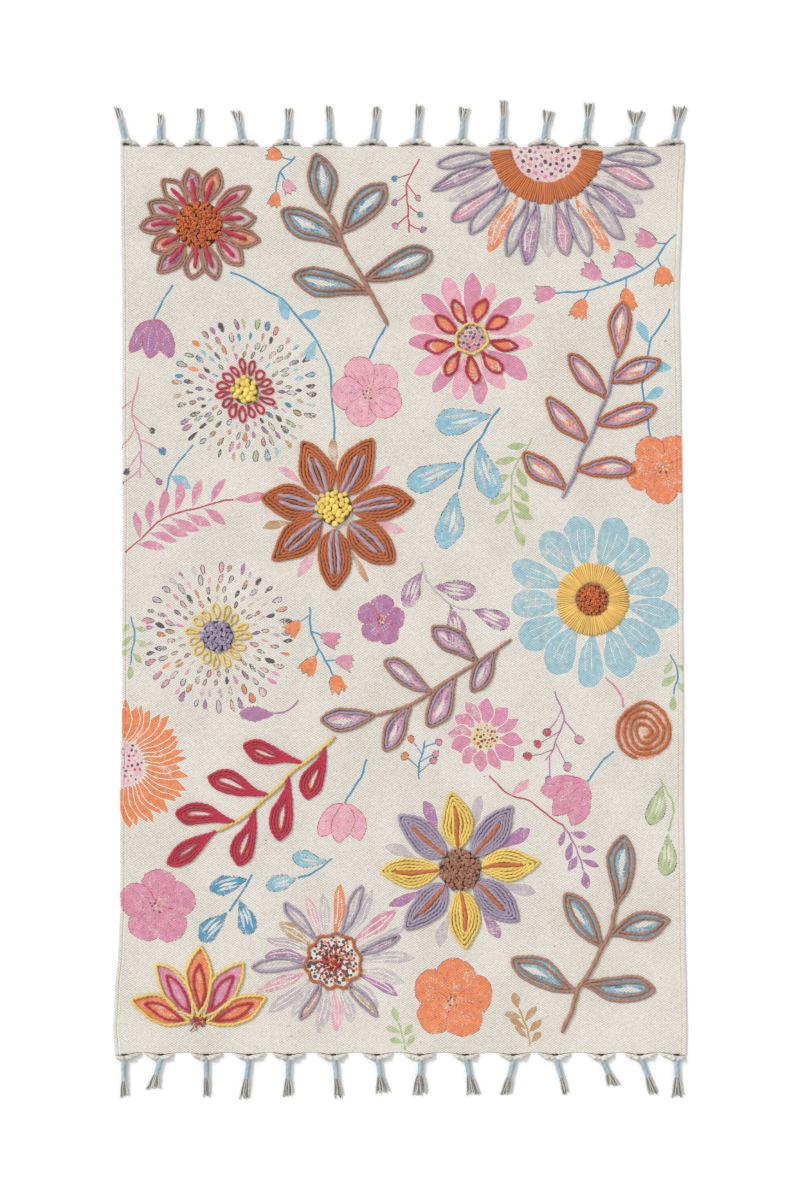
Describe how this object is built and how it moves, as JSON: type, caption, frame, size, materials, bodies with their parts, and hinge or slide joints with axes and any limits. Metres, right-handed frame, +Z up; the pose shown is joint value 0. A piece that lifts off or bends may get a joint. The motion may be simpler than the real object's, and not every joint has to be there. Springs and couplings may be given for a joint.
{
  "type": "rug",
  "caption": "Flat-woven cotton rug with printed and embroidered flowers and a wrapped tassel at each bundle of warp ends; it lies flat on a floor.",
  "frame": {"origin": "on the floor, under the middle of the whole rug with its tassels", "axes": "+Y along the length, from the bottom end to the top end; +X across the width; +Z up from the floor"},
  "size_m": [0.9356, 1.6262, 0.0129],
  "materials": {
    "cloth": "plain-woven natural cotton",
    "tassel_yarn": "wrapped and loose cotton yarn",
    "rust_knots": "looped yarn knots",
    "yellow_knots": "looped yarn knots",
    "lilac_knots": "looped yarn knots",
    "brown_knots": "looped yarn knots",
    "rust_cord": "rows of couched cord",
    "yellow_cord": "rows of couched cord",
    "rust_satin": "satin stitch",
    "yellow_satin": "satin stitch"
  },
  "bodies": {
    "root": {"rug_cloth": "cloth", "tassel_top_01": "tassel_yarn", "tassel_top_02": "tassel_yarn", "tassel_top_03": "tassel_yarn", "tassel_top_04": "tassel_yarn", "tassel_top_05": "tassel_yarn", "tassel_top_06": "tassel_yarn", "tassel_top_07": "tassel_yarn", "tassel_top_08": "tassel_yarn", "tassel_top_09": "tassel_yarn", "tassel_top_10": "tassel_yarn", "tassel_top_11": "tassel_yarn", "tassel_top_12": "tassel_yarn", "tassel_top_13": "tassel_yarn", "tassel_top_14": "tassel_yarn", "tassel_bottom_01": "tassel_yarn", "tassel_bottom_02": "tassel_yarn", "tassel_bottom_03": "tassel_yarn", "tassel_bottom_04": "tassel_yarn", "tassel_bottom_05": "tassel_yarn", "tassel_bottom_06": "tassel_yarn", "tassel_bottom_07": "tassel_yarn", "tassel_bottom_08": "tassel_yarn", "tassel_bottom_09": "tassel_yarn", "tassel_bottom_10": "tassel_yarn", "tassel_bottom_11": "tassel_yarn", "tassel_bottom_12": "tassel_yarn", "tassel_bottom_13": "tassel_yarn", "tassel_bottom_14": "tassel_yarn", "knots_zinnia": "rust_knots", "knots_red_dahlia": "yellow_knots", "knots_rust_cone": "yellow_knots", "knots_blue_daisy": "rust_knots", "knots_gold_dahlia": "lilac_knots", "knots_gold_cone": "brown_knots", "petals_rust_cone": "rust_cord", "petals_gold_cone": "yellow_cord", "satin_half_daisy": "rust_satin", "satin_blue_daisy": "yellow_satin"}
  },
  "joints": []
}
